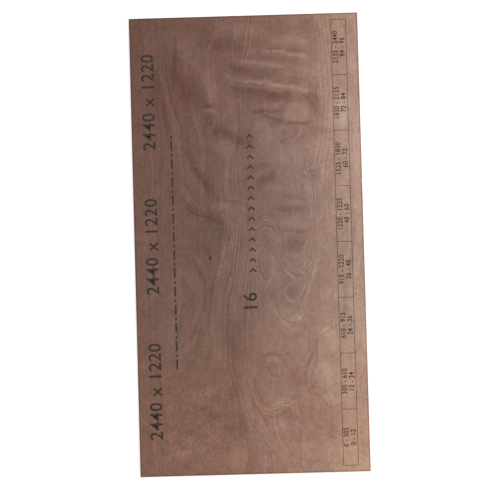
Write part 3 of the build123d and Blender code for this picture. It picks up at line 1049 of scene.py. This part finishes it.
def brown_ramp(tree, level, browns):
    """A colour ramp through browns, each at its shade. The last one's shade is the end of the ramp."""
    top = browns[-1][0]
    ramp = place(tree, "ValToRGB", {0: calc(tree, "DIVIDE", level, top)})
    stops = ramp.color_ramp.elements
    while len(stops) < len(browns):
        stops.new(1.0)
    for stop, (at, colour) in zip(stops, browns):
        stop.position = at / top
        stop.color = srgb(*colour)
    return ramp.outputs[0]


print(f"ramps: {len(GREY_BROWNS)} grey browns and {len(PINK_BROWNS)} pink ones")

# %% Veneer group
LINE_SHADE = 0.27
BAND_SHADE = 0.66
FIBRE_SHADE = 0.54
CURL_NOISE = (85, 75, 85, 3, 0.7)
CURL_SHADE = (0.75, 0.20)
BLOTCH_NOISE = (60, 36, 60, 5, 0.7)
BLOTCH_SHADE = 0.34
FLECK_NOISE = (260, 70, 260, 3, 0.6)
FLECK_BAR = (0.0, 1.0, 0.78, 0.60)
FLECK_STRENGTH = (0.0, 0.05, 0.0, 0.45)
PORE_STRENGTH = 0.30
PORE_DEPTH = 0.6
VENEER_ROUGHNESS = (0.18, 0.50)


def peeled_veneer():
    """Color: the shade, shifted by lines, bands, fibres, curled grain and blotches, looked up in both
    ramps, mixed by warmth, tinted by straw and darkened by flecks and pores. Roughness and height follow
    the fibres."""
    inputs = {"Place": "Vector", **{name.capitalize(): "Float" for name in face_fields}}
    outputs = {"Color": "Color", "Roughness": "Float", "Height": "Float"}
    tree, given, gives = new_group("peeled_veneer", inputs, outputs)
    where, thick = given["Place"], given["Flecks"]
    fibre = use_group(tree, fibre_group, {"Place": where})
    rings = use_group(tree, ring_group, {name: given[name] for name in RING_INPUTS})
    level = times_plus(tree, rings["Line"], LINE_SHADE, given["Shade"])
    for value, share in ((rings["Band"], BAND_SHADE), (fibre["Streak"], 2 * FIBRE_SHADE),
                         (grain_noise(tree, where, *CURL_NOISE), times_plus(tree, thick, *CURL_SHADE)),
                         (grain_noise(tree, where, *BLOTCH_NOISE), BLOTCH_SHADE)):
        level = times_plus(tree, centred(tree, value), share, level)
    grey, pink = brown_ramp(tree, level, GREY_BROWNS), brown_ramp(tree, level, PINK_BROWNS)
    tint = mix(tree, given["Straw"], ROSY_TINT, STRAW_TINT)
    wood = mix(tree, 1.0, mix(tree, given["Warmth"], grey, pink), tint, "MULTIPLY")
    bar = remap(tree, thick, *FLECK_BAR)
    past_bar = calc(tree, "SUBTRACT", grain_noise(tree, where, *FLECK_NOISE), bar)
    pore = calc(tree, "MULTIPLY", fibre["Pore"], PORE_STRENGTH)
    marks = calc(tree, "MAXIMUM", remap(tree, past_bar, *FLECK_STRENGTH), pore)
    feed(tree, gives, {"Color": mix(tree, marks, wood, MARK_BROWN),
                       "Roughness": times_plus(tree, fibre["Streak"], *VENEER_ROUGHNESS),
                       "Height": times_plus(tree, fibre["Pore"], -PORE_DEPTH, fibre["Streak"])})
    return tree


veneer_group = peeled_veneer()
print(f"veneer: {len(veneer_group.nodes)} nodes")

# %% [markdown]
# ## Finishes
# Each finish has one Principled shader of its own, fed by the groups. The face has small dark pin knots,
# and both faces have the stray sealer along their borders. The sealed edge is red-brown, with the plies
# just showing through.

# %% Face and back veneer
VENEER_SPECULAR = 0.25
VENEER_BUMP = (0.35, 0.0004)
SEALER_STAIN = (0.80, 0.60, 0.54, 1.0)
PIN_KNOTS = [
    # x, y, half width
    (-210, -70, 11.0), (558, -280, 5.0), (190, -589, 5.0), (140, -395, 4.0), (-272, 401, 4.5)]
KNOT_BROWN = srgb(46, 30, 25)
KNOT_CORE = 0.3
KNOT_STRENGTH = 0.85
KNOT_SQUEEZE = (1.0, 0.7, 1.0)


def bump(tree, height, strength, distance):
    """A normal that leans with the slope of height."""
    return place(tree, "Bump", {"Strength": strength, "Distance": distance, "Height": height}).outputs[0]


def object_place(tree):
    """The place on the piece, in metres from the origin."""
    return place(tree, "TexCoord").outputs["Object"]


def veneer_finish(name, knots):
    """Veneer with the stray sealer over its border and dark pin knots, each a soft oval."""
    finish, tree, shader = new_finish(name, VENEER_SPECULAR)
    where = object_place(tree)
    inputs = {"Place": where}
    for field in face_fields:
        inputs[field.capitalize()] = place(tree, "Attribute", attribute_name=field).outputs["Fac"]
    veneer = use_group(tree, veneer_group, inputs)
    colour = veneer["Color"]
    for knot_x, knot_y, half in knots:
        centre = (knot_x * MM, knot_y * MM, FACE_Z * MM)
        apart = place(tree, "VectorMath", {0: where, 1: centre}, operation="SUBTRACT").outputs[0]
        squeezed = place(tree, "VectorMath", {0: apart, 1: KNOT_SQUEEZE}, operation="MULTIPLY").outputs[0]
        away = place(tree, "VectorMath", {0: squeezed}, operation="LENGTH").outputs["Value"]
        dark = remap(tree, away, half * MM * KNOT_CORE, half * MM, KNOT_STRENGTH, 0.0)
        colour = mix(tree, dark, colour, KNOT_BROWN)
    cover = use_group(tree, sealer_group, {"Place": where})["Cover"]
    feed(tree, shader, {"Base Color": mix(tree, cover, colour, SEALER_STAIN, "MULTIPLY"),
                        "Roughness": veneer["Roughness"],
                        "Normal": bump(tree, veneer["Height"], *VENEER_BUMP)})
    return finish


face_veneer = veneer_finish("face_veneer", PIN_KNOTS)
back_veneer = veneer_finish("back_veneer", [])
print(f"veneers: {len(PIN_KNOTS)} pin knots on the face, none on the back")

# %% Sealed edge
EDGE_SPECULAR = 0.3
EDGE_BUMP = (0.4, 0.0003)
EDGE_ROUGHNESS = (0.25, 0.42)
THIN_SEALER, THICK_SEALER = srgb(84, 42, 33), srgb(116, 64, 51)
CROSS_PLY_BROWN, CROSS_PLY_SHARE = srgb(70, 36, 29), 0.5
GLUE_BROWN, GLUE_SHARE = srgb(48, 24, 20), 0.6
GLUE_RANGE = (0.02, 0.12)
BRUSH_NOISE = (30, 30, 300, 5, 0.6)
END_GRAIN_NOISE = (900, 900, 500, 3, 0.55)


def sealed_edge():
    """Sealer in two browns, brushed along the edge, darker on the end grain of every second ply and
    darkest at the glue lines, which lie where the height counted in plies is a whole number."""
    finish, tree, shader = new_finish("sealed_edge", EDGE_SPECULAR)
    where = object_place(tree)
    height = place(tree, "SeparateXYZ", {0: where}).outputs[2]
    plies = calc(tree, "DIVIDE", calc(tree, "SUBTRACT", height, FACE_PLY * MM), INNER_PLY * MM)
    glue = one_less(tree, remap(tree, calc(tree, "PINGPONG", plies, 0.5), *GLUE_RANGE))
    cross_ply = calc(tree, "MODULO", calc(tree, "FLOOR", plies), 2.0)
    end_grain = grain_noise(tree, where, *END_GRAIN_NOISE)
    grain_share = calc(tree, "MULTIPLY", cross_ply, calc(tree, "MULTIPLY", end_grain, CROSS_PLY_SHARE))
    colour = mix(tree, grain_noise(tree, where, *BRUSH_NOISE), THIN_SEALER, THICK_SEALER)
    colour = mix(tree, grain_share, colour, CROSS_PLY_BROWN)
    colour = mix(tree, calc(tree, "MULTIPLY", glue, GLUE_SHARE), colour, GLUE_BROWN)
    feed(tree, shader, {"Base Color": colour, "Roughness": times_plus(tree, end_grain, *EDGE_ROUGHNESS),
                        "Normal": bump(tree, end_grain, *EDGE_BUMP)})
    return finish


for finish in (face_veneer, back_veneer, sealed_edge()):
    panel.data.materials.append(finish)
finish_number = np.repeat([0, 1, 2], [len(face_quads), len(back_quads), len(edge_quads)]).astype(np.int32)
panel.data.polygons.foreach_set("material_index", finish_number)
print("finishes:", ", ".join(finish.name for finish in panel.data.materials))

# %% [markdown]
# ## The print on the face
# A mill rolls its marks on to the sanded face with thin dark ink. Here they are plain ones: a ruled strip
# with measures down the right side, the size of the sheet in figures, chevrons that point along the
# grain, and a broken guide line. An image would do, but a closed slip of ink a tenth of a millimetre high
# stays sharp at any distance and goes along into other programs. Lines are strokes worked out from paths,
# and figures are text made into a mesh.

# %% Strokes of ink
INK_SINK = 0.1
INK_HEIGHTS = np.array([FACE_Z, VENEER_Z - INK_SINK])


def ink_strokes(paths, width):
    """Closed slips along paths that all have the same number of points. At each point the two sides lie
    half a width off along the normal. At a bend that is the sum of both normals over 1 plus their dot
    product, a mitre."""
    paths = np.asarray(paths, dtype=float)
    run = np.diff(paths, axis=1)
    run /= np.linalg.norm(run, axis=-1, keepdims=True)
    normal = np.stack([-run[..., 1], run[..., 0]], axis=-1)
    before = np.concatenate([normal[:, :1], normal], axis=1)
    after = np.concatenate([normal, normal[:, -1:]], axis=1)
    side = (before + after) / (1 + (before * after).sum(axis=-1, keepdims=True)) * width / 2
    plan = np.stack([paths + side, paths - side, paths - side, paths + side], axis=2)
    height = np.broadcast_to(INK_HEIGHTS[[0, 0, 1, 1]], plan.shape[:-1])[..., None]
    points = np.concatenate([plan, height], axis=-1)
    number = np.arange(points[..., 0].size).reshape(points.shape[:-1])
    first, last = number[:, :-1], number[:, 1:]
    walls = np.stack([first, np.roll(first, -1, axis=2), np.roll(last, -1, axis=2), last], axis=-1)
    polygons = np.concatenate([walls.reshape(-1, 4), number[:, 0, ::-1], number[:, -1]])
    return points.reshape(-1, 3), polygons


print(f"ink: slips {INK_HEIGHTS[0] - INK_HEIGHTS[1]:.2f} mm high, {INK_RISE} mm of it above the veneer")

# %% Figures of ink
DIGIT_HEIGHT = 0.7
FIGURE_SPACING = 1.08
CURVE_STEPS = 4
WELD = 1e-5


def figure_mesh(words, weight):
    """Figures in the built-in font, made heavier by weight, filled and extruded by half a unit up and
    down, and welded into closed triangles. Returns their points and their corners."""
    curve = bpy.data.curves.new("figures", "FONT")
    curve.body = words
    curve.extrude = 0.5
    curve.offset = weight
    curve.resolution_u = CURVE_STEPS
    curve.space_character = FIGURE_SPACING
    lettering = bpy.data.objects.new("figures", curve)
    mesh = bpy.data.meshes.new_from_object(lettering)
    bpy.data.objects.remove(lettering)
    solid = bmesh.new()
    solid.from_mesh(mesh)
    bmesh.ops.remove_doubles(solid, verts=solid.verts, dist=WELD)
    bmesh.ops.triangulate(solid, faces=solid.faces)
    bmesh.ops.recalc_face_normals(solid, faces=solid.faces)
    solid.to_mesh(mesh)
    solid.free()
    points, corners = np.empty(3 * len(mesh.vertices)), np.empty(3 * len(mesh.polygons), dtype=np.int32)
    mesh.vertices.foreach_get("co", points)
    mesh.polygons.foreach_get("vertices", corners)
    bpy.data.meshes.remove(mesh)
    return points.reshape(-1, 3), corners.reshape(-1, 3)


def ink_figures(words, height, baseline_x, middle_y, weight, stretch=1.0):
    """Figures that read up the sheet, as closed slips: scaled to the height of their digits, turned a
    quarter to the left and centred on middle_y."""
    points, corners = figure_mesh(words, weight)
    scale = height / DIGIT_HEIGHT
    along_line = (points[:, 0] - (points[:, 0].min() + points[:, 0].max()) / 2) * scale * stretch
    level = INK_HEIGHTS[(points[:, 2] < 0) * 1]
    return np.stack([baseline_x - points[:, 1] * scale, middle_y + along_line, level], axis=1), corners


print(f"figures: digits of the built-in font stand {DIGIT_HEIGHT} of its size high")

# %% Ink finish
INK_SPECULAR = 0.2
INK_ROUGHNESS = (-0.15, 0.62)
FULL_INK, WORN_INK = srgb(42, 38, 33), srgb(98, 78, 66)
WORN_SHARE = 0.6
WORN_FIBRES = (0.35, 0.7)
THIN_INK_NOISE = (70, 30, 70, 4, 0.6)
THIN_INK = (0.3, 0.7, 0.25, 1.0)

stamp_ink, ink_tree, ink_shader = new_finish("stamp_ink", INK_SPECULAR)
ink_where = object_place(ink_tree)
ink_fibre = use_group(ink_tree, fibre_group, {"Place": ink_where})
worn_fibres = remap(ink_tree, ink_fibre["Streak"], *WORN_FIBRES)
thin_ink = remap(ink_tree, grain_noise(ink_tree, ink_where, *THIN_INK_NOISE), *THIN_INK)
worn = calc(ink_tree, "MULTIPLY", worn_fibres, thin_ink)
feed(ink_tree, ink_shader, {
    "Base Color": mix(ink_tree, calc(ink_tree, "MULTIPLY", worn, WORN_SHARE), FULL_INK, WORN_INK),
    "Roughness": times_plus(ink_tree, worn, *INK_ROUGHNESS)})
print(f"ink finish: {len(ink_tree.nodes)} nodes")

# %% [markdown]
# ## The marks
# The strip is ruled into eight cells, one for each foot of the sheet, with millimetres and inches in
# each. The size stands three times along the left, where it can be read when sheets lean side by side,
# and the thickness stands at the foot of the chevrons. Strip, chevrons and dashes repeat one small path,
# so numpy copies it along the sheet.

# %% Measuring strip
FOOT, INCHES = 305, 12
STRIP_RAILS = (467.0, 546.0)
STRIP_REACH = 1186.0
STRIP_CELLS = 8
STRIP_LINE = 2.6
STRIP_FIGURE = 27.0
STRIP_WEIGHT = 0.016
STRIP_STRETCH = 0.85
STRIP_BASELINES = {FOOT: 499.0, INCHES: 536.0}


def ink_piece(name, slips):
    """One printed piece from several slips, with their point numbers moved on."""
    starts = np.cumsum([0] + [len(points) for points, _ in slips])
    polygons = [corners for start, (_, faces) in zip(starts, slips) for corners in (faces + start).tolist()]
    new_piece(name, np.concatenate([points for points, _ in slips]), polygons, [stamp_ink])
    print(f"{name}: {len(polygons)} faces")


cell_ends = np.linspace(-STRIP_REACH, STRIP_REACH, STRIP_CELLS + 1)
rails = [[(rail, -STRIP_REACH), (rail, STRIP_REACH)] for rail in STRIP_RAILS]
rungs = [[(rail, end) for rail in STRIP_RAILS] for end in cell_ends]
measures = [ink_strokes(rails + rungs, STRIP_LINE)]
for cell, middle in enumerate((cell_ends[1:] + cell_ends[:-1]) / 2):
    for unit, baseline in STRIP_BASELINES.items():
        words = f"{cell * unit} - {(cell + 1) * unit}"
        measures.append(ink_figures(words, STRIP_FIGURE, baseline, middle, STRIP_WEIGHT, STRIP_STRETCH))
ink_piece("measuring_strip", measures)

# %% Size figures
FIGURE_WEIGHT = 0.012
SIZE_FIGURE = 66.0
SIZE_BASELINE = -486.0
SIZE_PLACES = (-770.0, 0.0, 770.0)

size_text = f"{2 * HALF_LENGTH:.0f} x {2 * HALF_WIDTH:.0f}"
ink_piece("size_figures", [
    ink_figures(size_text, SIZE_FIGURE, SIZE_BASELINE, middle, FIGURE_WEIGHT) for middle in SIZE_PLACES])

# %% Chevrons and thickness
CHEVRONS = 14
CHEVRON_PITCH = 55.0
CHEVRON_HALF = 17.0
CHEVRON_LINE = 8.0
CHEVRON_START = (17.0, -150.0)
THICKNESS_FIGURE = 72.0
THICKNESS_PLACE = (32.0, -300.0)

chevron = np.array([(-CHEVRON_HALF, 0.0), (0.0, CHEVRON_HALF), (CHEVRON_HALF, 0.0)]) + CHEVRON_START
chevrons = chevron + np.arange(CHEVRONS)[:, None, None] * [0.0, CHEVRON_PITCH]
thickness = ink_figures(f"{FACE_Z - BACK_Z:.0f}", THICKNESS_FIGURE, *THICKNESS_PLACE, FIGURE_WEIGHT)
ink_piece("grain_chevrons", [ink_strokes(chevrons, CHEVRON_LINE), thickness])

# %% Guide line
GUIDE_X = -400.0
GUIDE_START = -655.0
GUIDE_LINE = 9.0
GUIDE_REPEATS = 13
GUIDE_PITCH = 97.0
GUIDE_DASHES = ((0.0, 52.0), (66.0, 80.0))

dashes = np.array([[(GUIDE_X, GUIDE_START + end) for end in dash] for dash in GUIDE_DASHES])
dashes = dashes + np.arange(GUIDE_REPEATS)[:, None, None, None] * [0.0, GUIDE_PITCH]
ink_piece("guide_dashes", [ink_strokes(dashes.reshape(-1, 2, 2), GUIDE_LINE)])
